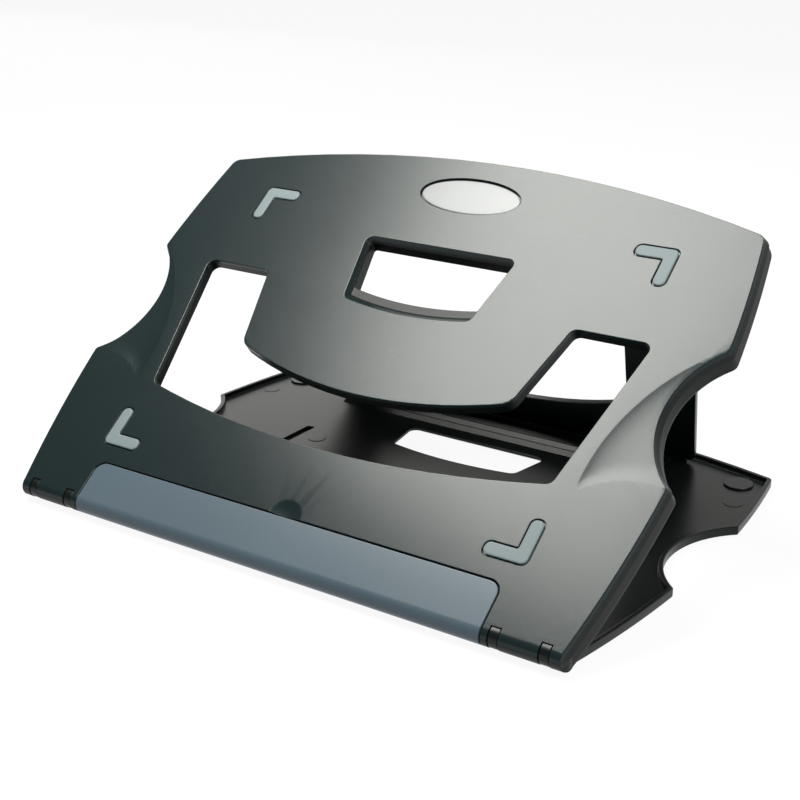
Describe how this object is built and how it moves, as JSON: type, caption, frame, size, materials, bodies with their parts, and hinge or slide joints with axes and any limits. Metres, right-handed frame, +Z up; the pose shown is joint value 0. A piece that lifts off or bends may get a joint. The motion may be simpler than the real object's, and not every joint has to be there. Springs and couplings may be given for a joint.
{
  "type": "folding laptop riser",
  "caption": "Folding ventilated laptop riser: a bowed deck with open windows, hinged along its front edge to a flat tray, held at a slope by a U-shaped prop, with a fold-up stop flap.",
  "frame": {"origin": "on the table, under the middle of the box round the whole object", "axes": "+X to the right as the user sits in front of it, +Y from the user towards the back, +Z up from the table"},
  "size_m": [0.3346, 0.2454, 0.1561],
  "materials": {
    "deck_plastic": "satin, fine-grained charcoal",
    "tray_plastic": "satin black",
    "flap_plastic": "satin slate grey",
    "pad_rubber": "matt slate grey",
    "pin_steel": "drawn steel",
    "badge_plastic": "plain, semi-gloss",
    "foot_rubber": "matt black"
  },
  "bodies": {
    "base": {"base_tray": "tray_plastic", "rubber_foot_front_left": "foot_rubber", "rubber_foot_front_right": "foot_rubber", "rubber_foot_rear_left": "foot_rubber", "rubber_foot_rear_right": "foot_rubber"},
    "deck": {"deck_plate": "deck_plastic", "hinge_pin_left": "pin_steel", "hinge_pin_right": "pin_steel", "prop_pin_left": "pin_steel", "prop_pin_right": "pin_steel", "grip_pad_front_left": "pad_rubber", "grip_pad_front_right": "pad_rubber", "grip_pad_rear_left": "pad_rubber", "grip_pad_rear_right": "pad_rubber", "badge_plate": "badge_plastic"},
    "flap": {"stop_flap": "flap_plastic"},
    "prop": {"prop_frame": "tray_plastic"}
  },
  "joints": [
    {"name": "deck_hinge", "type": "hinge", "parent": "base", "child": "deck", "pos_m": [0, -0.1173, 0.0071], "axis": [1, 0, 0], "range_deg": [0, 50]},
    {"name": "flap_hinge", "type": "hinge", "parent": "deck", "child": "flap", "pos_m": [0, -0.1173, 0.0071], "axis": [1, 0, 0], "range_deg": [0, 95]},
    {"name": "prop_hinge", "type": "hinge", "parent": "deck", "child": "prop", "pos_m": [0, 0.03512, 0.11719], "axis": [1, 0, 0], "range_deg": [-85.1, 0]}
  ],
  "couplings": [
    {"joint": "prop_hinge", "follows": "deck_hinge", "ratio": -1.7016}
  ]
}
